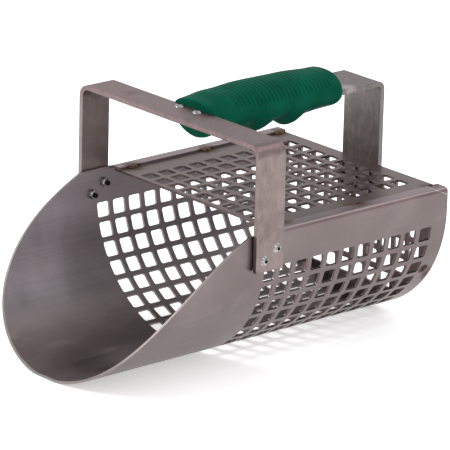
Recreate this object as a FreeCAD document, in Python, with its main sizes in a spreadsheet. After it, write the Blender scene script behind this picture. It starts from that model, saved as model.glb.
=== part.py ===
import FreeCAD, Part
import math
import os

import Sketcher

# Beach sand scoop: a perforated stainless trough with a bail, a handle bar and a moulded grip.
# Millimetres, Z up.  The mouth faces -Y, the perforated back faces +Y and X runs across the scoop.
# The origin lies under the middle of the whole scoop, on the strip the round bottom stands on.

V = FreeCAD.Vector
os.makedirs("parts", exist_ok=True)
doc = FreeCAD.newDocument("beach_sand_scoop")

# ---------------------------------------------------------------------------------------------
# Driving sizes
# ---------------------------------------------------------------------------------------------
SIZES = {
    # folded shell
    "shell_radius": 80.0,        # outside of the half-round bottom
    "axis_height": 79.492,       # middle of the half-round above the ground
    "foot_half_width": 9.0,      # flat strip along the bottom that the scoop stands on
    "sheet_gauge": 1.5,
    "shell_height": 92.9,        # top of the inward flanges
    "front_wall_height": 92.3,   # plain wall top in front of the flanges
    "blank_front": -128.9,       # front of the sheet before the mouth is cut
    "shell_back": 124.15,
    "flange_front": -12.85,
    "flange_width": 9.5,
    "flange_bend": 2.6,          # outside bend radius
    "mouth_arc_radius": 182.0,   # side view of the mouth, an arc between two points
    "mouth_low_y": -128.42,
    "mouth_low_z": -2.5,
    "mouth_high_y": -18.8,
    "mouth_high_z": 99.5,
    "mouth_clear_y": -140.0,
    "mouth_corner": 3.5,
    # perforation
    "perf_pitch": 12.7,
    "perf_size": 9.3,
    "perf_corner": 1.3,
    "perf_step_angle": 9.0956,   # one pitch of girth on the shell radius, degrees
    "perf_first_angle": 7.05,    # lowest row, measured from straight down, degrees
    "shell_first_column": -19.75,
    # top plate
    "top_half_width": 75.5,
    "top_first_row": -50.1,
    "top_first_column": -4.85,
    # back plate
    "back_shift": -4.3,
    "back_first_row": 19.4,
    # bail
    "bail_half_width": 83.8,
    "bail_gauge": 3.0,
    "bail_top": 148.4,
    "bail_foot": 70.0,
    "bail_width": 21.4,
    "bail_y": -24.35,
    "bail_bend": 8.0,
    "leg_rivet_low_y": -28.25,
    "leg_rivet_low_z": 76.7,
    "leg_rivet_high_y": -18.55,
    "leg_rivet_high_z": 83.0,
    # handle bar
    "bar_gauge": 3.2,
    "bar_width": 33.0,
    "bar_front": -23.65,
    "bar_bend": 5.0,
    "bar_foot": 69.5,
    "bar_rivet_y": -17.25,
    "bar_rivet_x": 8.2,
    "bar_rivet_shift": -1.7,     # the pair sits a little off the middle line
    # blind rivets
    "shank_radius": 2.0,
    "head_radius": 3.3,
    "head_height": 1.3,
    "head_dome": 4.2,
    "tail_radius": 2.9,
    "tail_length": 2.6,
    "tail_round": 1.2,
    "wall_slack": 0.25,          # the tail clears the curve of the wall by this much
    "pin_radius": 1.15,
    "pin_recess": 0.9,
    "pin_head_radius": 1.6,
    "pin_head_length": 1.4,
    # grip
    "grip_front": -13.55,
    "grip_back": 94.65,
    "grip_dome": 5.5,            # length of the rounded rear end
    "ring_pitch": 3.15,
    "ring_groove": 1.4,
    "ring_depth": 0.5,
    "ring_first": 4.65,
    "ring_floor": 149.0,         # the rings run out at this height
    "ring_fade": 0.4,
    # weld tacks
    "flange_tack_front_y": -2.35,
    "flange_tack_middle_y": 57.65,
    "flange_tack_rear_y": 118.65,
    "tack_length": 4.0,
    "tack_width": 2.3,
    "tack_height": 2.1,
    "seam_tack_width": 1.4,
    "seam_tack_height": 0.8,
    "bar_tack_height": 1.8,
    "bar_tack_half": 1.7,
    "bar_tack_reach": 2.6,
}
SHELL_ROWS, SHELL_COLUMNS = 9, 11
TOP_ROWS, TOP_COLUMNS = 9, 10
RING_GROOVES = 25
# grip section along its length as (distance behind the front face, size) knots
GRIP_HALF_WIDTH = [(0.0, 21.8), (26.0, 19.9), (84.0, 19.3), (100.0, 18.6)]
GRIP_RISE = [(0.0, 9.8), (18.0, 12.8), (42.0, 14.3), (74.0, 14.0), (100.0, 12.6)]
GRIP_DEPTH = [(0.0, 13.8), (7.5, 9.0), (20.0, 16.0), (31.0, 11.0), (43.5, 17.2), (58.5, 10.4),
              (70.5, 17.8), (79.5, 12.6), (90.0, 11.8), (100.0, 11.5)]
GRIP_UPPER_POWER, GRIP_LOWER_POWER = 2.3, 1.75
SECTION_POINTS = 36
NOSE_STEPS = 8
DOME_SHARES = (0.0, 0.25, 0.5, 0.7, 0.85, 0.94, 0.98)
FLANGE_TACKS = ("front", "middle", "rear")
SEAM_TACK_ANGLES = {"right": 55.0, "left": -55.0, "bottom": -6.6}

sheet = doc.addObject("Spreadsheet::Sheet", "dims")
for row, (alias, number) in enumerate(SIZES.items(), start=1):
    sheet.set("A%d" % row, alias)
    sheet.set("B%d" % row, str(number))
    sheet.setAlias("B%d" % row, alias)
doc.recompute()


class Size:
    """A length written as a sum of sheet cells; it knows its number and its expression."""

    def __init__(self, terms):
        self.terms = terms

    def __add__(self, other):
        return Size(self.terms + other.terms)

    def __sub__(self, other):
        return self + other * -1.0

    def __mul__(self, factor):
        return Size([(name, count * factor) for name, count in self.terms])

    @property
    def number(self):
        return sum(sheet.get(name) * count for name, count in self.terms)

    @property
    def expression(self):
        return " + ".join("%.6g * dims.%s" % (count, name) for name, count in self.terms)


def size(name):
    return Size([(name, 1.0)])


ZERO = Size([])
nodes = {}


def keep(node, shape_object):
    """Registers a finished sub-part under its node name."""
    shape_object.Label = node
    nodes[node] = shape_object


def bind(target, prop, length):
    if length.terms:
        target.setExpression(prop, length.expression)


# ---------------------------------------------------------------------------------------------
# Sketch helpers
# ---------------------------------------------------------------------------------------------
def origin_feature(body, role):
    return next(item for item in body.Origin.OriginFeatures if item.Role == role)


def new_sketch(body, name, plane, offset=None, turn=None):
    """A sketch on a base plane, moved by offset lengths (x, y, z in the plane) and turned."""
    sketch = body.newObject("Sketcher::SketchObject", name)
    sketch.AttachmentSupport = (origin_feature(body, plane), [""])
    sketch.MapMode = "FlatFace"
    if turn is not None:
        sketch.AttachmentOffset = turn
    for axis, length in zip("xyz", offset or ()):
        bind(sketch, "AttachmentOffset.Base.%s" % axis, length)
    return sketch


def hold(sketch, kind, geometry, end, length):
    """Fixes one coordinate of a point: on the axis when it is zero, else by a bound distance."""
    if not length.terms:
        axis = -2 if kind == "DistanceX" else -1
        sketch.addConstraint(Sketcher.Constraint("PointOnObject", geometry, end, axis))
        return
    index = sketch.addConstraint(Sketcher.Constraint(kind, -1, 1, geometry, end, length.number))
    bind(sketch, "Constraints[%d]" % index, length)


def hold_radius(sketch, geometry, length):
    index = sketch.addConstraint(Sketcher.Constraint("Radius", geometry, length.number))
    bind(sketch, "Constraints[%d]" % index, length)


def arc_edge(start, stop, radius, bulge):
    """Circle arc from start to stop; bulge +1 keeps the centre left of the chord, -1 right."""
    chord = stop - start
    rise = math.sqrt(max(radius ** 2 - (chord.Length / 2) ** 2, 0.0))
    normal = V(-chord.y, chord.x, 0).normalize()
    centre = (start + stop) * 0.5 + normal * rise * bulge
    first = math.atan2(start.y - centre.y, start.x - centre.x)
    last = math.atan2(stop.y - centre.y, stop.x - centre.x)
    if bulge < 0:
        first, last = last, first
    return Part.ArcOfCircle(Part.Circle(centre, V(0, 0, 1), radius), first, last)


def outline(sketch, corners):
    """Closed outline.  Each corner is (x, y) or (x, y, radius, bulge) when an arc leaves it."""
    points = [V(corner[0].number, corner[1].number, 0) for corner in corners]
    ends = []
    for index, corner in enumerate(corners):
        start, stop = points[index], points[(index + 1) % len(points)]
        if len(corner) == 2:
            ends.append((sketch.addGeometry(Part.LineSegment(start, stop)), 1, 2))
        else:
            arc = sketch.addGeometry(arc_edge(start, stop, corner[2].number, corner[3]))
            ends.append((arc, 1, 2) if corner[3] > 0 else (arc, 2, 1))
    for index, (edge, first, last) in enumerate(ends):
        after, after_first, _ = ends[(index + 1) % len(ends)]
        sketch.addConstraint(Sketcher.Constraint("Coincident", edge, last, after, after_first))
    for corner, (edge, first, last) in zip(corners, ends):
        hold(sketch, "DistanceX", edge, first, corner[0])
        hold(sketch, "DistanceY", edge, first, corner[1])
        if len(corner) > 2:
            hold_radius(sketch, edge, corner[2])
    return sketch


def rounded_square(sketch):
    """Square with round corners, centred on the sketch origin: one hole of the perforation."""
    half, inner = size("perf_size") * 0.5, size("perf_size") * 0.5 - size("perf_corner")
    round_corner = size("perf_corner")
    corners = []
    for sx, sy in ((1, -1), (1, 1), (-1, 1), (-1, -1)):
        before, after = (inner * sx, half * sy), (half * sx, inner * sy)
        if sx * sy > 0:
            before, after = after, before
        corners.append(before + (round_corner, 1))
        corners.append(after)
    return outline(sketch, corners)


def circles(sketch, centres, radius):
    for x, y in centres:
        ring = sketch.addGeometry(Part.Circle(V(x.number, y.number, 0), V(0, 0, 1), radius.number))
        hold(sketch, "DistanceX", ring, 3, x)
        hold(sketch, "DistanceY", ring, 3, y)
        hold_radius(sketch, ring, radius)
    return sketch


# ---------------------------------------------------------------------------------------------
# Body features
# ---------------------------------------------------------------------------------------------
def new_body(name):
    return doc.addObject("PartDesign::Body", name)


def pad(body, sketch, length, reverse=False, middle=False):
    feature = body.newObject("PartDesign::Pad", sketch.Name + "_pad")
    feature.Profile = sketch
    bind(feature, "Length", length)
    feature.Reversed = reverse
    if middle:
        feature.SideType = "Symmetric"
    doc.recompute()
    return feature


def pocket(body, sketch, length=None, reverse=False, middle=False):
    before = body.Tip.Shape.Volume
    feature = body.newObject("PartDesign::Pocket", sketch.Name + "_cut")
    feature.Profile = sketch
    if length is None:
        feature.Type = "ThroughAll"
    else:
        bind(feature, "Length", length)
    feature.Reversed = reverse
    if middle:
        feature.SideType = "Symmetric"
    doc.recompute()
    if not feature.Shape.Volume < before - 1e-6:
        raise RuntimeError("%s removed nothing" % feature.Name)
    return feature


def line_pattern(name, body, axis, step, count):
    """Row of copies along a base axis, for use inside a grid."""
    pattern = doc.addObject("PartDesign::LinearPattern", name)
    pattern.Direction = (origin_feature(body, axis), [""])
    pattern.Mode = "Spacing"
    bind(pattern, "Offset", step)
    pattern.Occurrences = count
    return pattern


def grid(body, name, feature, patterns):
    """Repeats one cut by every pattern in turn."""
    multi = body.newObject("PartDesign::MultiTransform", name)
    multi.Originals = [feature]
    multi.Transformations = patterns
    body.Tip = multi
    doc.recompute()
    return multi


def mirror_body(body, plane="YZ_Plane"):
    mirror = body.newObject("PartDesign::Mirrored", body.Name + "_mirror")
    mirror.TransformMode = "Whole shape"
    mirror.MirrorPlane = (origin_feature(body, plane), [""])
    body.Tip = mirror
    doc.recompute()
    return mirror


def edges_where(shape, test):
    return ["Edge%d" % (index + 1) for index, edge in enumerate(shape.Edges) if test(edge)]


# ---------------------------------------------------------------------------------------------
# Scoop shell: half is drawn about the bend axis, holed, then mirrored
# ---------------------------------------------------------------------------------------------
radius, gauge, bend = size("shell_radius"), size("sheet_gauge"), size("flange_bend")
axis, foot = size("axis_height"), size("foot_half_width")
inner_radius = radius - gauge
wall_top = size("front_wall_height") - axis
flange_top = size("shell_height") - axis
# the flat strip on the inside follows the one outside, scaled by the sheet's thickness
inner_share = inner_radius.number / radius.number
inner_foot, inner_axis = foot * inner_share, axis * inner_share

shell = new_body("scoop_shell_body")
bind(shell, "Placement.Base.z", axis)
at_flange = (ZERO, ZERO, size("flange_front") * -1.0)

front_half = outline(new_sketch(shell, "shell_front_profile", "XZ_Plane", at_flange), [
    (ZERO, axis * -1.0),
    (foot, axis * -1.0, radius, 1),
    (radius, ZERO),
    (radius, wall_top),
    (inner_radius, wall_top),
    (inner_radius, ZERO, inner_radius, -1),
    (inner_foot, inner_axis * -1.0),
    (ZERO, inner_axis * -1.0),
])
pad(shell, front_half, size("flange_front") - size("blank_front"))

rear_half = outline(new_sketch(shell, "shell_rear_profile", "XZ_Plane", at_flange), [
    (ZERO, axis * -1.0),
    (foot, axis * -1.0, radius, 1),
    (radius, ZERO),
    (radius, flange_top - bend, bend, 1),
    (radius - bend, flange_top),
    (radius - size("flange_width"), flange_top),
    (radius - size("flange_width"), flange_top - gauge),
    (radius - bend, flange_top - gauge, bend - gauge, -1),
    (inner_radius, flange_top - bend),
    (inner_radius, ZERO, inner_radius, -1),
    (inner_foot, inner_axis * -1.0),
    (ZERO, inner_axis * -1.0),
])
pad(shell, rear_half, size("shell_back") - size("flange_front"), reverse=True)

low_z, high_z = size("mouth_low_z") - axis, size("mouth_high_z") - axis
mouth = outline(new_sketch(shell, "mouth_profile", "YZ_Plane"), [
    (size("mouth_low_y"), low_z, size("mouth_arc_radius"), -1),
    (size("mouth_high_y"), high_z),
    (size("mouth_clear_y"), high_z),
    (size("mouth_clear_y"), low_z),
])
mouth_cut = pocket(shell, mouth, middle=True)

corner = shell.newObject("PartDesign::Fillet", "mouth_corner_round")
top_level = wall_top.number
front_edges = edges_where(mouth_cut.Shape, lambda edge: (
    abs(edge.BoundBox.ZMax - top_level) < 0.01 and edge.BoundBox.ZLength < 0.01
    and edge.BoundBox.YLength < 0.01 and edge.CenterOfMass.y < size("bail_y").number))
corner.Base = (mouth_cut, front_edges)
bind(corner, "Radius", size("mouth_corner"))
shell.Tip = corner
doc.recompute()

rivet_spots = [(size("leg_rivet_low_y"), size("leg_rivet_low_z")),
               (size("leg_rivet_high_y"), size("leg_rivet_high_z"))]
shell_rivet_holes = circles(
    new_sketch(shell, "shell_rivet_holes", "YZ_Plane"),
    [(y, z - axis) for y, z in rivet_spots], size("shank_radius"))
pocket(shell, shell_rivet_holes, reverse=True)

# one hole just off the bottom line, drawn on a plane that touches the outside of the sheet
hole_turn = FreeCAD.Placement(V(), FreeCAD.Rotation(V(0, 1, 0), 180 - SIZES["perf_first_angle"]))
hole = new_sketch(shell, "shell_hole", "XY_Plane", turn=hole_turn)
hole.setExpression("AttachmentOffset.Base.x",
                   "(dims.shell_radius + 1) * sin(dims.perf_first_angle * 1 deg)")
hole.setExpression("AttachmentOffset.Base.y", "dims.shell_first_column")
hole.setExpression("AttachmentOffset.Base.z",
                   "-(dims.shell_radius + 1) * cos(dims.perf_first_angle * 1 deg)")
first_hole = pocket(shell, rounded_square(hole), gauge * 3.0)
shell_columns = line_pattern("shell_columns", shell, "Y_Axis", size("perf_pitch"), SHELL_COLUMNS)
shell_rows = doc.addObject("PartDesign::PolarPattern", "shell_rows")
shell_rows.Axis = (origin_feature(shell, "Y_Axis"), [""])
shell_rows.Reversed = True
shell_rows.Mode = "Spacing"
bind(shell_rows, "Offset", size("perf_step_angle"))
shell_rows.Occurrences = SHELL_ROWS
grid(shell, "shell_perforation", first_hole, [shell_columns, shell_rows])
mirror_body(shell)
keep("scoop_shell", shell)

# ---------------------------------------------------------------------------------------------
# Top plate: flat perforated sheet under the two flanges
# ---------------------------------------------------------------------------------------------
plate_top = size("shell_height") - gauge
top_plate = new_body("top_plate_body")
bind(top_plate, "Placement.Base.z", plate_top - gauge)
half_width = size("top_half_width")
top_outline = outline(new_sketch(top_plate, "top_plate_outline", "XY_Plane"), [
    (half_width * -1.0, size("flange_front")),
    (half_width, size("flange_front")),
    (half_width, size("shell_back")),
    (half_width * -1.0, size("shell_back")),
])
pad(top_plate, top_outline, gauge)
top_hole = rounded_square(new_sketch(top_plate, "top_hole", "XY_Plane", (
    size("top_first_row"), size("top_first_column"), gauge)))
first_top_hole = pocket(top_plate, top_hole)
grid(top_plate, "top_perforation", first_top_hole, [
    line_pattern("top_rows", top_plate, "X_Axis", size("perf_pitch"), TOP_ROWS),
    line_pattern("top_columns", top_plate, "Y_Axis", size("perf_pitch"), TOP_COLUMNS),
])
keep("top_plate", top_plate)

# ---------------------------------------------------------------------------------------------
# Back plate: closes the rear between shell and top plate, flush with the end of the shell
# ---------------------------------------------------------------------------------------------
back_plate = new_body("back_plate_body")
bind(back_plate, "Placement.Base.y", size("shell_back") - gauge)
under_top = plate_top - gauge
back_half = outline(new_sketch(back_plate, "back_plate_outline", "XZ_Plane"), [
    (inner_radius * -1.0, axis, inner_radius, 1),
    (inner_foot * -1.0, axis - inner_axis),
    (inner_foot, axis - inner_axis, inner_radius, 1),
    (inner_radius, axis),
    (inner_radius, under_top),
    (inner_radius * -1.0, under_top),
])
pad(back_plate, back_half, gauge, reverse=True)


def back_rows(name, first_row, rows, columns):
    """A block of back-plate holes: equal rows, centred on the shifted middle line."""
    first_x = size("back_shift") - size("perf_pitch") * ((columns - 1) / 2)
    first_z = size("back_first_row") + size("perf_pitch") * first_row
    cut = pocket(back_plate, rounded_square(
        new_sketch(back_plate, name, "XZ_Plane", (first_x, first_z, ZERO))))
    across = line_pattern(name + "_across", back_plate, "X_Axis", size("perf_pitch"), columns)
    patterns = [across]
    if rows > 1:
        patterns.append(line_pattern(name + "_up", back_plate, "Z_Axis", size("perf_pitch"), rows))
    grid(back_plate, name + "_grid", cut, patterns)


back_rows("back_low_row", 0, 1, 6)
back_rows("back_second_row", 1, 1, 8)
back_rows("back_upper_rows", 2, 4, 10)
keep("back_plate", back_plate)

# ---------------------------------------------------------------------------------------------
# Front bail: flat bar bent to an inverted U, riveted outside the shell walls
# ---------------------------------------------------------------------------------------------
bail_gauge, bail_bend = size("bail_gauge"), size("bail_bend")
bail_half, bail_top = size("bail_half_width"), size("bail_top")
bail = new_body("front_bail_body")
bail_profile = outline(
    new_sketch(bail, "bail_profile", "XZ_Plane", (ZERO, ZERO, size("bail_y") * -1.0)), [
        (ZERO, bail_top - bail_gauge),
        (bail_half - bail_bend, bail_top - bail_gauge, bail_bend - bail_gauge, -1),
        (bail_half - bail_gauge, bail_top - bail_bend),
        (bail_half - bail_gauge, size("bail_foot")),
        (bail_half, size("bail_foot")),
        (bail_half, bail_top - bail_bend, bail_bend, 1),
        (bail_half - bail_bend, bail_top),
        (ZERO, bail_top),
    ])
pad(bail, bail_profile, size("bail_width"), middle=True)
mirror_body(bail)
leg_holes = circles(new_sketch(bail, "leg_rivet_holes", "YZ_Plane"),
                    rivet_spots, size("shank_radius"))
pocket(bail, leg_holes, middle=True)
bar_rivet_spots = [(size("bar_rivet_shift") + size("bar_rivet_x") * side, size("bar_rivet_y"))
                   for side in (-1.0, 1.0)]
web_holes = circles(new_sketch(bail, "web_rivet_holes", "XY_Plane"),
                    bar_rivet_spots, size("shank_radius"))
pocket(bail, web_holes, reverse=True)
keep("front_bail", bail)

# ---------------------------------------------------------------------------------------------
# Handle bar: flat bar from under the bail, through the grip, down the back plate
# ---------------------------------------------------------------------------------------------
bar_gauge, bar_bend = size("bar_gauge"), size("bar_bend")
bar_top, bar_back = bail_top - bail_gauge, size("shell_back") + bar_gauge
bar = new_body("handle_bar_body")
bar_profile = outline(
    new_sketch(bar, "bar_profile", "YZ_Plane"), [
        (size("bar_front"), bar_top - bar_gauge),
        (bar_back - bar_bend, bar_top - bar_gauge, bar_bend - bar_gauge, -1),
        (bar_back - bar_gauge, bar_top - bar_bend),
        (bar_back - bar_gauge, size("bar_foot")),
        (bar_back, size("bar_foot")),
        (bar_back, bar_top - bar_bend, bar_bend, 1),
        (bar_back - bar_bend, bar_top),
        (size("bar_front"), bar_top),
    ])
pad(bar, bar_profile, size("bar_width"), middle=True)
pocket(bar, circles(new_sketch(bar, "bar_rivet_holes", "XY_Plane"),
                    bar_rivet_spots, size("shank_radius")), reverse=True)
keep("handle_bar", bar)

# ---------------------------------------------------------------------------------------------
# Blind rivets: a hollow body with its broken-off pin, two in each bail leg, two in the bail top
# ---------------------------------------------------------------------------------------------
def rivet_body(node, stack, placement, base):
    """Hollow rivet: dome head above z 0, shank down through the stack, upset tail below it."""
    body = new_body(node + "_body")
    body.Placement = placement
    tail_start, tail_end = stack * -1.0, stack * -1.0 - size("tail_length")
    profile = outline(new_sketch(body, node + "_profile", "XZ_Plane"), [
        (size("shank_radius"), ZERO),
        (size("head_radius"), ZERO, size("head_dome"), 1),
        (size("pin_radius"), size("head_height")),
        (size("pin_radius"), tail_end),
        (size("tail_radius") - size("tail_round"), tail_end, size("tail_round"), 1),
        (size("tail_radius"), tail_end + size("tail_round")),
        (size("tail_radius"), tail_start),
        (size("shank_radius"), tail_start),
    ])
    turn_profile(body, profile)
    place(body, base)
    keep(node, body)


def pin_body(node, stack, placement, base):
    """Broken-off mandrel: a pin down the rivet with its head behind the tail."""
    body = new_body(node + "_body")
    body.Placement = placement
    tail_end = stack * -1.0 - size("tail_length")
    profile = outline(new_sketch(body, node + "_profile", "XZ_Plane"), [
        (ZERO, tail_end - size("pin_head_length")),
        (size("pin_head_radius"), tail_end - size("pin_head_length")),
        (size("pin_head_radius"), tail_end),
        (size("pin_radius"), tail_end),
        (size("pin_radius"), size("head_height") - size("pin_recess")),
        (ZERO, size("head_height") - size("pin_recess")),
    ])
    turn_profile(body, profile)
    place(body, base)
    keep(node, body)


def turn_profile(body, sketch):
    revolution = body.newObject("PartDesign::Revolution", sketch.Name + "_turn")
    revolution.Profile = sketch
    revolution.ReferenceAxis = (origin_feature(body, "Z_Axis"), [""])
    revolution.Angle = 360
    doc.recompute()


def place(item, base):
    for axis, length in zip("xyz", base):
        bind(item, "Placement.Base.%s" % axis, length)


def turned(axis, angle):
    return FreeCAD.Placement(V(), FreeCAD.Rotation(axis, angle))


leg_stack = bail_half - inner_radius + size("wall_slack")
web_stack = bail_gauge + bar_gauge
for side, sign in (("right", 1.0), ("left", -1.0)):
    for level, (spot_y, spot_z) in zip(("low", "high"), rivet_spots):
        spot = (bail_half * sign, spot_y, spot_z)
        outward = turned(V(0, 1, 0), 90 * sign)
        rivet_body("leg_rivet_%s_%s" % (side, level), leg_stack, outward, spot)
        pin_body("leg_rivet_pin_%s_%s" % (side, level), leg_stack, outward, spot)
for side, (spot_x, spot_y) in zip(("left", "right"), bar_rivet_spots):
    spot = (spot_x, spot_y, bail_top)
    rivet_body("bar_rivet_%s" % side, web_stack, FreeCAD.Placement(), spot)
    pin_body("bar_rivet_pin_%s" % side, web_stack, FreeCAD.Placement(), spot)

# ---------------------------------------------------------------------------------------------
# Grip: a moulded sleeve, lofted through its sections, slotted for the bar and ringed on top
# ---------------------------------------------------------------------------------------------
grip_front, grip_back = sheet.get("grip_front"), sheet.get("grip_back")
grip_middle_z = (bar_top - bar_gauge * 0.5).number
dome_start = grip_back - sheet.get("grip_dome")


def eased(knots, distance):
    """Value at a distance, easing in and out between the knots."""
    for (near, low), (far, high) in zip(knots, knots[1:]):
        if distance <= far:
            share = max(distance - near, 0.0) / (far - near)
            return low + (high - low) * (1 - math.cos(math.pi * share)) / 2
    return knots[-1][1]


def end_taper(y):
    """Rounds both ends: a small radius at the front face, a full dome at the rear."""
    nose = 2.0
    if y < grip_front + nose:
        return 0.94 + 0.06 * math.sin(math.pi / 2 * (y - grip_front) / nose)
    if y > dome_start:
        share = (y - dome_start) / (grip_back - dome_start + 0.2)
        return math.sqrt(1 - share ** 2)
    return 1.0


def grip_section(y, groove):
    """Closed section at y: broad on top, narrow below, its crown lowered by the ring groove."""
    back = y - grip_front
    taper = end_taper(y)
    half_width = eased(GRIP_HALF_WIDTH, back) * taper
    rise = eased(GRIP_RISE, back) * taper
    depth = eased(GRIP_DEPTH, back) * taper
    points = []
    for step in range(SECTION_POINTS):
        angle = 2 * math.pi * step / SECTION_POINTS
        power, height = (
            (GRIP_UPPER_POWER, rise) if angle < math.pi else (GRIP_LOWER_POWER, depth))
        across = math.copysign(abs(math.cos(angle)) ** (2 / power), math.cos(angle))
        up = math.copysign(abs(math.sin(angle)) ** (2 / power), math.sin(angle))
        above_floor = grip_middle_z + height * up - sheet.get("ring_floor")
        cut = groove * min(max(above_floor / sheet.get("ring_fade"), 0.0), 1.0)
        points.append(V((half_width - cut) * across, y, grip_middle_z + (height - cut) * up))
    curve = Part.BSplineCurve()
    curve.interpolate(Points=points, PeriodicFlag=True)
    return Part.Wire([curve.toShape()])


def grip_stations():
    """Sections along the grip as (y, groove depth): smooth nose, rings, rounded rear end."""
    first, groove, pitch = (sheet.get(name) for name in ("ring_first", "ring_groove", "ring_pitch"))
    nose = [grip_front + back for back in (0.0, 0.4, 1.0, 2.0)]
    plain = [nose[-1] + (first - nose[-1]) * step / NOSE_STEPS for step in range(1, NOSE_STEPS)]
    stations = [(y, 0.0) for y in nose + plain]
    for ring in range(RING_GROOVES):
        start = first + ring * pitch
        for share, depth in ((0.0, 0.0), (0.25, 1.0), (0.75, 1.0), (1.0, 0.0)):
            stations.append((start + groove * share, depth * sheet.get("ring_depth")))
    rear = sheet.get("grip_dome")
    return stations + [(dome_start + rear * share, 0.0) for share in DOME_SHARES]


grip_body = Part.makeLoft([grip_section(y, groove) for y, groove in grip_stations()], True, True)
slot_length = 2 * (grip_back - grip_front)
bar_slot = Part.makeBox(sheet.get("bar_width"), slot_length, bar_gauge.number)
bar_slot.translate(V(-sheet.get("bar_width") / 2, -slot_length / 2, (bar_top - bar_gauge).number))
grip = doc.addObject("Part::Feature", "grip_shape")
grip.Shape = grip_body.cut(bar_slot)
keep("grip", grip)


# ---------------------------------------------------------------------------------------------
# Weld tacks
# ---------------------------------------------------------------------------------------------
def tack(node, radii, sweep, rotation, base):
    """Part of an ellipsoid bead: radii along its own z, x and y, swept about its own z."""
    bead = doc.addObject("Part::Ellipsoid", node + "_bead")
    for prop, length in zip(("Radius1", "Radius2", "Radius3"), radii):
        bind(bead, prop, length)
    bead.Angle1, bead.Angle2, bead.Angle3 = 0, 90, sweep
    bead.Placement = FreeCAD.Placement(V(), rotation)
    place(bead, base)
    keep(node, bead)


X_AXIS, Y_AXIS, Z_AXIS = V(1, 0, 0), V(0, 1, 0), V(0, 0, 1)
flange_edge = radius - size("flange_width")
for side, sign in (("right", 1.0), ("left", -1.0)):
    for where in FLANGE_TACKS:
        tack("flange_tack_%s_%s" % (side, where),
             (size("tack_height"), size("tack_length"), size("tack_width")), 180,
             FreeCAD.Rotation(Z_AXIS, 90 * sign),
             (flange_edge * sign, size("flange_tack_%s_y" % where), plate_top))

face_rearward = FreeCAD.Rotation(X_AXIS, -90)
for where, angle in SEAM_TACK_ANGLES.items():
    node = "seam_tack_%s" % where
    tack(node, (size("seam_tack_height"), size("tack_length"), size("seam_tack_width")), 360,
         FreeCAD.Rotation(Y_AXIS, -angle) * face_rearward, (ZERO, size("shell_back"), ZERO))
    bead = nodes[node]
    reach = inner_radius.expression
    bead.setExpression("Placement.Base.x", "(%s) * sin(%g deg)" % (reach, angle))
    bead.setExpression("Placement.Base.z", "dims.axis_height - (%s) * cos(%g deg)" % (reach, angle))

strip_z = size("back_first_row") + size("perf_pitch") * 4.5
for side, sign in (("right", 1.0), ("left", -1.0)):
    tack("bar_tack_%s" % side,
         (size("bar_tack_height"), size("bar_tack_half"), size("bar_tack_reach")), 180,
         face_rearward * FreeCAD.Rotation(Z_AXIS, -90 * sign),
         (size("bar_width") * (0.5 * sign), size("shell_back"), strip_z))
tack("bar_tack_bottom",
     (size("bar_tack_height"), size("bar_tack_half"), size("bar_tack_reach")), 180,
     face_rearward, (size("back_shift"), size("shell_back"), size("bar_foot")))

# ---------------------------------------------------------------------------------------------
# Check and export
# ---------------------------------------------------------------------------------------------
doc.recompute()
for item in doc.Objects:
    if "Invalid" in item.State or "Error" in item.State:
        raise RuntimeError("%s is in state %s" % (item.Name, item.State))
for node, item in nodes.items():
    if item.Shape.isNull() or not item.Shape.isValid():
        raise RuntimeError("%s has no valid shape" % node)
    item.Shape.exportStep("parts/%s.step" % node)
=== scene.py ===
import math

import bmesh
import bpy
from mathutils import Matrix, Vector, noise


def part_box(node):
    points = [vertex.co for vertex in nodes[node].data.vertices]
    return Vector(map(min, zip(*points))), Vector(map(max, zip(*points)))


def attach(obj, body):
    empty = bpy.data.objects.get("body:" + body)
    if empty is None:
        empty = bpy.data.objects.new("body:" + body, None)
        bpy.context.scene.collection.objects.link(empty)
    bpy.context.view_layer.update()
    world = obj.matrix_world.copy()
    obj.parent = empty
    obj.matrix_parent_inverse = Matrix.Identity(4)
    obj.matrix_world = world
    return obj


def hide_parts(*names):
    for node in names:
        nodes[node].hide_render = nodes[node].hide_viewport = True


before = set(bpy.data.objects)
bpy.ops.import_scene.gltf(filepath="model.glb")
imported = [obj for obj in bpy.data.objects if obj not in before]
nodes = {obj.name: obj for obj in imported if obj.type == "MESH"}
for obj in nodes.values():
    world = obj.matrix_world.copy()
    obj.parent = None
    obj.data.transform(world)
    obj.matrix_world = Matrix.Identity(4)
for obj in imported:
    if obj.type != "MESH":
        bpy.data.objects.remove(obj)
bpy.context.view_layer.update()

# Beach sand scoop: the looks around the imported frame.  Metres, in the frame of the part.
MM = 0.001

RIVETS = [name for name in nodes if "rivet" in name and "pin" not in name]
PINS = [name for name in nodes if "pin" in name]
TACKS = [name for name in nodes if "tack" in name]

# The shell: a half-round trough with upright walls, bent inward to two flanges at the top
shell_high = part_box("scoop_shell")[1]
SHEET_GAUGE = 1.5 * MM
FOOT_HALF_WIDTH = 9.0 * MM       # half the flat strip that it stands on
OUTER_RADIUS = shell_high.x
INNER_RADIUS = OUTER_RADIUS - SHEET_GAUGE
AXIS_HEIGHT = math.sqrt(OUTER_RADIUS ** 2 - FOOT_HALF_WIDTH ** 2)
FLANGE_BEND = shell_high.z - 2.6 * MM            # the walls turn inward above this height
MOUTH_MIDDLE = (0.0, 39.39 * MM, -72.94 * MM)    # the mouth is cut along an arc about this line
MOUTH_RADIUS = 182.0 * MM
WALL_MARKS = [(64.9 * MM, 54.6 * MM, 32.7 * MM), (68.9 * MM, 116.4 * MM, 38.9 * MM)]    # scorched

# The straps: the bar lies under the bail's top strap and leaves the grip at the rear
BAR_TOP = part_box("handle_bar")[1].z
BAR_PAINTED_HIGHLIGHT = (13.0 * MM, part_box("grip")[1].y + 4.5 * MM, BAR_TOP)    # painted highlight on the bar behind the grip
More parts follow.
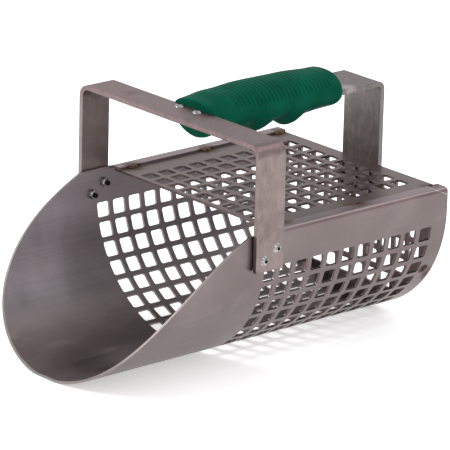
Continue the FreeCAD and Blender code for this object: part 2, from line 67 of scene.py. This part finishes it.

# Weld beads
BEAD_FACES = 6000                # each bead is divided until it has this many
RIPPLE_PITCH = 0.9 * MM
RIPPLE_DEPTH = 0.10 * MM
LUMP_SIZE = 1.1 * MM
LUMP_DEPTH = 0.35 * MM


def colour(red, green, blue):
    return (red, green, blue, 1.0)


def middle(name):
    low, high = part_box(name)
    return (low + high) / 2


# ---------------------------------------------------------------------------------------------
# Node graphs
# ---------------------------------------------------------------------------------------------
class Shader:
    """One material's node graph, built by short calls that return output sockets."""

    def __init__(self, name):
        self.material = bpy.data.materials.new(name)
        self.material.use_nodes = True
        self.tree = self.material.node_tree
        self.surface = next(node for node in self.tree.nodes if node.type == "BSDF_PRINCIPLED")
        self.place = self.add("TexCoord").outputs["Object"]

    def add(self, kind, inputs=(), **settings):
        node = self.tree.nodes.new("ShaderNode" + kind)
        for key, value in settings.items():
            setattr(node, key, value)
        for key, value in dict(inputs).items():
            self.feed(node.inputs[key], value)
        return node

    def feed(self, socket, value):
        if isinstance(value, bpy.types.NodeSocket):
            self.tree.links.new(value, socket)
        else:
            socket.default_value = value

    def set(self, **inputs):
        """Feed the surface's own inputs, spelled with _ for each space."""
        for key, value in inputs.items():
            self.feed(self.surface.inputs[key.replace("_", " ")], value)

    def stretched(self, scale):
        return self.add("Mapping", {"Vector": self.place, "Scale": scale}).outputs[0]

    def noise(self, scale, detail=3.0, rough=0.55, warp=0.0, vector=None):
        node = self.add("TexNoise", {"Vector": vector or self.place, "Scale": scale,
                                     "Detail": detail, "Roughness": rough, "Distortion": warp})
        return node.outputs[0]

    def ramp(self, value, low, high, start=0.0, end=1.0):
        """Smooth step of value from low to high, giving start to end."""
        node = self.add("MapRange", {"Value": value, "From Min": low, "From Max": high,
                                     "To Min": start, "To Max": end},
                        interpolation_type="SMOOTHSTEP")
        return node.outputs[0]

    def math(self, operation, first, second=0.0):
        return self.add("Math", {0: first, 1: second}, operation=operation).outputs[0]

    def mix(self, share, first, second, blend="MIX"):
        node = self.add("Mix", data_type="RGBA", blend_type=blend)
        for key, value in (("Factor_Float", share), ("A_Color", first), ("B_Color", second)):
            self.feed(next(item for item in node.inputs if item.identifier == key), value)
        return next(item for item in node.outputs if item.identifier == "Result_Color")

    def clouded(self, cloud, dark, pale):
        """A tone that drifts between two as the cloudy noise does."""
        return self.mix(self.ramp(cloud, 0.3, 0.7), dark, pale)

    def round_edge(self, radius):
        """A normal that turns softly over the edges, as rolled or tumbled metal does."""
        return self.add("Bevel", {"Radius": radius}, samples=6).outputs[0]

    def bump(self, height, distance, strength=1.0, normal=None):
        node = self.add("Bump", {"Height": height, "Distance": distance, "Strength": strength})
        if normal is not None:
            self.feed(node.inputs["Normal"], normal)
        return node.outputs[0]

    def near(self, centres, inner, outer):
        """1 at the centres, falling to 0 at the outer distance, with a ragged edge."""
        ragged = self.math("MULTIPLY", self.math("SUBTRACT", self.noise(420.0, 3.0), 0.5), outer)
        total = None
        for centre in centres:
            gap = self.add("VectorMath", {0: self.place, 1: centre}, operation="DISTANCE")
            reach = self.math("ADD", gap.outputs["Value"], ragged)
            spot = self.ramp(reach, inner, outer, 1.0, 0.0)
            total = spot if total is None else self.math("MAXIMUM", total, spot)
        return total

    def coordinate(self, axis):
        return self.add("SeparateXYZ", {0: self.place}).outputs[axis]

    def distance_across(self, first, second):
        """Distance from the origin of the plane that two coordinates span."""
        square = self.math("ADD", self.math("MULTIPLY", first, first),
                           self.math("MULTIPLY", second, second))
        return self.math("SQRT", square)

    def inside_shell(self):
        """1 on the hollow side of the round shell, 0 on its outer side."""
        below_axis = self.math("MINIMUM", self.math("SUBTRACT", self.coordinate("Z"), AXIS_HEIGHT),
                               0.0)
        reach = self.distance_across(self.coordinate("X"), below_axis)
        return self.ramp(reach, INNER_RADIUS + 0.3 * MM, INNER_RADIUS + 0.8 * MM, 1.0, 0.0)

    def on_mouth_edge(self):
        """1 on the cut edge round the mouth."""
        along = self.math("SUBTRACT", self.coordinate("Y"), MOUTH_MIDDLE[1])
        above = self.math("SUBTRACT", self.coordinate("Z"), MOUTH_MIDDLE[2])
        reach = self.distance_across(along, above)
        off = self.math("ABSOLUTE", self.math("SUBTRACT", reach, MOUTH_RADIUS))
        return self.ramp(off, 0.1 * MM, 0.35 * MM, 1.0, 0.0)


# ---------------------------------------------------------------------------------------------
# Materials
# ---------------------------------------------------------------------------------------------
def painted_hollow_shade(steel, cloud):
    """Inside the shell, painted shade and painted reflection: a pale, cool-tinted wall over a darker
    floor, darker still towards the back.
    """
    # painted reflection lightens and cools the wall; painted shade darkens the floor
    wall = steel.clouded(cloud, colour(0.34, 0.30, 0.325), colour(0.44, 0.39, 0.42))
    floor = steel.clouded(cloud, colour(0.175, 0.145, 0.143), colour(0.235, 0.197, 0.195))
    tone = steel.mix(steel.ramp(steel.coordinate("Z"), 8.0 * MM, 34.0 * MM), floor, wall)
    # painted shade, growing towards the back of the hollow
    depth_shade = steel.ramp(steel.coordinate("Y"), -70.0 * MM, -5.0 * MM, 0.0, 0.45)
    return steel.mix(depth_shade, tone, colour(0.17, 0.14, 0.14))


def sheet_steel(name, is_shell):
    """Mill-finish stainless sheet: rolling lines, smears, small dents, brown heat at the tacks."""
    steel = Shader(name)
    cloud = steel.noise(16.0, 4.0, 0.6, 0.6)
    rolling = steel.noise(1.0, 2.0, vector=steel.stretched((900.0, 9.0, 900.0)))
    smear = steel.noise(1.0, 4.0, 0.65, 1.2, steel.stretched((70.0, 14.0, 22.0)))
    specks = steel.noise(520.0, 2.0)

    tone = steel.clouded(cloud, colour(0.178, 0.145, 0.143), colour(0.24, 0.20, 0.198))
    if is_shell:
        # the hollow side takes painted shade and painted reflection instead of the outer tone
        tone = steel.mix(steel.inside_shell(), tone, painted_hollow_shade(steel, cloud))
    else:
        tone = steel.mix(1.0, tone, colour(0.81, 0.75, 0.73), "MULTIPLY")
    tone = steel.mix(steel.ramp(smear, 0.52, 0.72, 0.0, 0.4), tone, colour(0.34, 0.29, 0.29))
    tone = steel.mix(steel.ramp(rolling, 0.35, 0.75, 0.0, 0.18), tone, colour(0.15, 0.12, 0.12))
    tone = steel.mix(steel.ramp(specks, 0.68, 0.76, 0.0, 0.35), tone, colour(0.10, 0.08, 0.075))

    heat = steel.near([middle(item) for item in TACKS], 3.5 * MM, 9.0 * MM)
    tone = steel.mix(steel.math("MULTIPLY", heat, 0.9), tone, colour(0.085, 0.050, 0.030))
    oxide = steel.math("MULTIPLY", heat, 0.35)
    gloss = steel.math("ADD", steel.ramp(cloud, 0.3, 0.7, 0.34, 0.44),
                       steel.ramp(smear, 0.5, 0.75, 0.0, 0.1))
    if is_shell:
        scorch = steel.near(WALL_MARKS, 2.2 * MM, 5.0 * MM)
        tone = steel.mix(steel.math("MULTIPLY", scorch, 0.95), tone, colour(0.034, 0.016, 0.008))
        oxide = steel.math("MAXIMUM", oxide, steel.math("MULTIPLY", scorch, 0.9))
        # painted shade: the flange above the bend is darkened to dim the reflection along its bend
        flange_shade = steel.ramp(steel.coordinate("Z"), FLANGE_BEND - 1.0 * MM, FLANGE_BEND + 1.0 * MM)
        tone = steel.mix(flange_shade, tone, colour(0.98, 0.90, 0.90), "MULTIPLY")
        # painted highlight: the cut edge round the mouth is lightened as a bright rim catching the
        # light
        cut = steel.on_mouth_edge()
        tone = steel.mix(cut, tone, colour(0.32, 0.28, 0.275))
        gloss = steel.math("SUBTRACT", gloss, steel.math("MULTIPLY", cut, 0.12))

    dents = steel.bump(steel.noise(22.0, 2.0), 0.6 * MM, 0.35)
    steel.set(Base_Color=tone, Metallic=steel.math("SUBTRACT", 1.0, oxide), Roughness=gloss,
              Specular_IOR_Level=0.02, Normal=steel.bump(rolling, 0.01 * MM, 0.4, dents))
    return steel.material


def strap_steel(name, along, dark, pale, top_shade):
    """Flat bar with drawn streaks along its length, given as stretch factors, and painted shade over
    its top.
    """
    steel = Shader(name)
    cloud = steel.noise(26.0, 4.0, 0.6, 0.8)
    drawn = steel.noise(1.0, 3.0, 0.6, 0.3, steel.stretched(along))
    blotch = steel.noise(75.0, 3.0, 0.6, 1.0)
    mottle = steel.noise(1.0, 4.0, 0.7, 0.8, steel.stretched((260.0, 260.0, 110.0)))
    scuff = steel.noise(620.0, 2.0)

    tone = steel.clouded(cloud, dark, pale)
    tone = steel.mix(steel.ramp(drawn, 0.42, 0.7, 0.0, 0.2), tone, pale)
    tone = steel.mix(steel.ramp(blotch, 0.54, 0.72, 0.0, 0.5), tone, colour(0.13, 0.098, 0.09))
    tone = steel.mix(steel.ramp(mottle, 0.45, 0.65, 0.0, 0.3), tone, colour(0.36, 0.30, 0.29))
    # painted highlight: the bar is lightened just behind the grip
    tone = steel.mix(steel.near([BAR_PAINTED_HIGHLIGHT], 1.0 * MM, 7.5 * MM), tone, colour(0.42, 0.40, 0.40))
    tone = steel.mix(steel.ramp(scuff, 0.68, 0.75, 0.0, 0.6), tone, colour(0.09, 0.072, 0.067))
    # painted shade: the top few millimetres of the strap are darkened to dim its bright reflection
    top_shade_mask = steel.ramp(steel.coordinate("Z"), BAR_TOP - 6.0 * MM, BAR_TOP)
    tone = steel.mix(top_shade_mask, tone, top_shade, "MULTIPLY")

    dents = steel.bump(steel.noise(60.0, 2.0), 0.25 * MM, 0.3, steel.round_edge(0.9 * MM))
    steel.set(Base_Color=tone, Metallic=1.0, Roughness=steel.ramp(cloud, 0.3, 0.7, 0.34, 0.48),
              Normal=steel.bump(drawn, 0.02 * MM, 0.35, dents))
    return steel.material


def bail_steel():
    """Warm grey strap, streaked across the scoop over its top and down its legs."""
    return strap_steel("bail_steel", along=(60.0, 700.0, 60.0), dark=colour(0.19, 0.147, 0.143),
                       pale=colour(0.275, 0.222, 0.215), top_shade=colour(0.86, 0.78, 0.80))


def bar_steel():
    """Darker, cooler bar, streaked from front to back and down its leg."""
    return strap_steel("bar_steel", along=(700.0, 40.0, 30.0), dark=colour(0.13, 0.122, 0.117),
                       pale=colour(0.20, 0.188, 0.18), top_shade=colour(0.95, 0.86, 0.90))


def grip_vinyl():
    """Dark green moulded vinyl with a faint grain, cloudy depth and a dull skin."""
    vinyl = Shader("grip_vinyl")
    cloud = vinyl.noise(45.0, 3.0)
    grain = vinyl.noise(1500.0, 2.0)
    dust = vinyl.noise(240.0, 4.0, 0.65)
    tone = vinyl.clouded(cloud, colour(0.0015, 0.060, 0.033), colour(0.003, 0.085, 0.052))
    tone = vinyl.mix(vinyl.ramp(dust, 0.62, 0.78, 0.0, 0.25), tone, colour(0.015, 0.105, 0.075))
    gloss = vinyl.math("ADD", vinyl.ramp(cloud, 0.3, 0.7, 0.30, 0.40),
                       vinyl.ramp(grain, 0.4, 0.7, 0.0, 0.06))
    vinyl.set(Base_Color=tone, Roughness=gloss, Specular_IOR_Level=0.012,
              Normal=vinyl.bump(grain, 0.02 * MM, 0.4))
    return vinyl.material


def rivet_aluminium():
    """Bright aluminium, dulled in patches."""
    rivet = Shader("rivet_aluminium")
    wear = rivet.noise(700.0, 3.0)
    tone = rivet.mix(rivet.ramp(wear, 0.35, 0.7), colour(0.42, 0.42, 0.43),
                     colour(0.20, 0.19, 0.19))
    rivet.set(Base_Color=tone, Metallic=1.0, Roughness=rivet.ramp(wear, 0.3, 0.7, 0.22, 0.38),
              Normal=rivet.bump(wear, 0.03 * MM, 0.5))
    return rivet.material


def pin_steel():
    """Grainy broken end of the rivet's pin, near black as painted shade of the hole it sits in."""
    pin = Shader("pin_steel")
    grain = pin.noise(1800.0, 3.0)
    # near-black tones: painted shade of the hole in the rivet head
    tone = pin.mix(pin.ramp(grain, 0.35, 0.65), colour(0.008, 0.007, 0.007),
                   colour(0.035, 0.030, 0.028))
    pin.set(Base_Color=tone, Metallic=1.0, Roughness=pin.ramp(grain, 0.3, 0.7, 0.45, 0.7),
            Normal=pin.bump(grain, 0.1 * MM, 0.7))
    return pin.material


def weld_bead():
    """Weld metal: brown and straw heat colours, with grey where the scale has come off."""
    weld = Shader("weld_bead")
    scale = weld.noise(500.0, 4.0, 0.65)
    tone = weld.mix(weld.ramp(scale, 0.35, 0.62), colour(0.045, 0.024, 0.013),
                    colour(0.13, 0.080, 0.050))
    tone = weld.mix(weld.ramp(weld.noise(900.0), 0.6, 0.72), tone, colour(0.22, 0.19, 0.175))
    weld.set(Base_Color=tone, Metallic=0.85, Roughness=weld.ramp(scale, 0.3, 0.7, 0.35, 0.6),
             Normal=weld.bump(scale, 0.12 * MM, 0.8))
    return weld.material


def finish(names, material):
    for name in names:
        nodes[name].data.materials.clear()
        nodes[name].data.materials.append(material)


bead_metal = weld_bead()
finish(["scoop_shell"], sheet_steel("shell_steel", is_shell=True))
finish(["top_plate", "back_plate"], sheet_steel("plate_steel", is_shell=False))
finish(["front_bail"], bail_steel())
finish(["handle_bar"], bar_steel())
finish(["grip"], grip_vinyl())
finish(RIVETS, rivet_aluminium())
finish(PINS, pin_steel())
finish(TACKS, bead_metal)


# ---------------------------------------------------------------------------------------------
# Weld beads: each plain tack is replaced by a rippled, uneven one of the same size
# ---------------------------------------------------------------------------------------------
def sunk_place(vert, centre, along, seed):
    """Where a point of the bead goes: inward by a ripple along the bead and by a small lump."""
    turns = (vert.co - centre)[along] / RIPPLE_PITCH
    ripple = 0.5 + 0.5 * math.sin(2 * math.pi * turns)
    lump = 0.5 + 0.5 * noise.noise(vert.co / LUMP_SIZE + Vector((seed, 0.0, 0.0)))
    return vert.co - vert.normal * (RIPPLE_DEPTH * ripple + LUMP_DEPTH * lump)


def rippled_bead(name, seed):
    """The tack's own outline, divided finely and sunk by ripples along it and by small lumps."""
    mesh = bmesh.new()
    mesh.from_mesh(nodes[name].data)
    bmesh.ops.remove_doubles(mesh, verts=mesh.verts, dist=0.01 * MM)
    bmesh.ops.triangulate(mesh, faces=mesh.faces)
    while len(mesh.faces) < BEAD_FACES:
        bmesh.ops.subdivide_edges(mesh, edges=mesh.edges, cuts=1, use_grid_fill=True)
        bmesh.ops.triangulate(mesh, faces=mesh.faces)
    mesh.normal_update()

    low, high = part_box(name)
    centre, extent = (low + high) / 2, high - low
    along = max(range(3), key=lambda axis: extent[axis])
    places = [sunk_place(vert, centre, along, seed) for vert in mesh.verts]
    for vert, place in zip(mesh.verts, places):
        vert.co = place

    data = bpy.data.meshes.new(name + "_bead")
    mesh.to_mesh(data)
    mesh.free()
    data.shade_smooth()
    data.materials.append(bead_metal)
    bead = bpy.data.objects.new(name + "_bead", data)
    bpy.context.scene.collection.objects.link(bead)
    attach(bead, "root")
    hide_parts(name)


for seed, name in enumerate(TACKS):
    rippled_bead(name, seed)


# ---------------------------------------------------------------------------------------------
# Stage, light and camera
# ---------------------------------------------------------------------------------------------
def pale_floor(reach):
    """Seamless pale studio floor, faintly mottled, as far as reach each way."""
    floor = Shader("studio_floor")
    tone = floor.mix(floor.noise(9.0, 3.0), colour(0.86, 0.86, 0.86), colour(0.9, 0.9, 0.9))
    floor.set(Base_Color=tone, Roughness=0.9, Specular_IOR_Level=0.1,
              Emission_Color=colour(1.0, 1.0, 1.0), Emission_Strength=0.42)
    corners = [(-reach, -reach, 0.0), (reach, -reach, 0.0), (reach, reach, 0.0), (-reach, reach, 0.0)]
    mesh = bpy.data.meshes.new("studio_floor")
    mesh.from_pydata(corners, [], [(0, 1, 2, 3)])
    mesh.materials.append(floor.material)
    plane = bpy.data.objects.new("studio_floor", mesh)
    bpy.context.scene.collection.objects.link(plane)


def soft_light(name, place, target, width, power):
    lamp = bpy.data.lights.new(name, "AREA")
    lamp.shape = "DISK"
    lamp.size = width
    lamp.energy = power
    item = bpy.data.objects.new(name, lamp)
    bpy.context.scene.collection.objects.link(item)
    item.location = place
    item.rotation_euler = (Vector(target) - Vector(place)).to_track_quat("-Z", "Y").to_euler()


def sky(strength):
    world = bpy.data.worlds.new("studio_air")
    world.use_nodes = True
    background = world.node_tree.nodes["Background"]
    background.inputs["Color"].default_value = colour(1.0, 1.0, 1.0)
    background.inputs["Strength"].default_value = strength
    bpy.context.scene.world = world


def photographer(aim, distance, azimuth, elevation, roll, lens, shift):
    """Camera at azimuth (from +X) and elevation about the aim point, all angles in degrees."""
    turn, lift = math.radians(azimuth), math.radians(elevation)
    back = Vector((math.cos(lift) * math.cos(turn), math.cos(lift) * math.sin(turn),
                   math.sin(lift)))
    level = Vector((0, 0, 1)).cross(back).normalized()
    right = Matrix.Rotation(math.radians(roll), 3, back) @ level
    facing = Matrix((right, back.cross(right), back)).transposed().to_4x4()

    data = bpy.data.cameras.new("photographer")
    data.sensor_width = 36.0
    data.lens = lens
    data.shift_x, data.shift_y = shift
    data.clip_end = 50.0
    camera = bpy.data.objects.new("photographer", data)
    bpy.context.scene.collection.objects.link(camera)
    camera.matrix_world = Matrix.Translation(aim + back * distance) @ facing
    bpy.context.scene.camera = camera


scoop_middle = Vector((0.016, 0.001, 0.0755))
pale_floor(reach=8.0)
soft_light("key_light", (-1.6, -2.2, 2.6), scoop_middle, width=1.6, power=60.0)
soft_light("fill_light", (2.6, -0.6, 1.6), scoop_middle, width=1.8, power=9.0)
soft_light("rear_light", (0.6, 2.6, 2.2), scoop_middle, width=2.0, power=16.0)
sky(strength=0.9)
photographer(aim=scoop_middle, distance=2.88, azimuth=-41.31, elevation=18.16, roll=1.47,
             lens=378.7, shift=(-0.0056, 0.0011))
bpy.context.scene.view_settings.view_transform = "Standard"
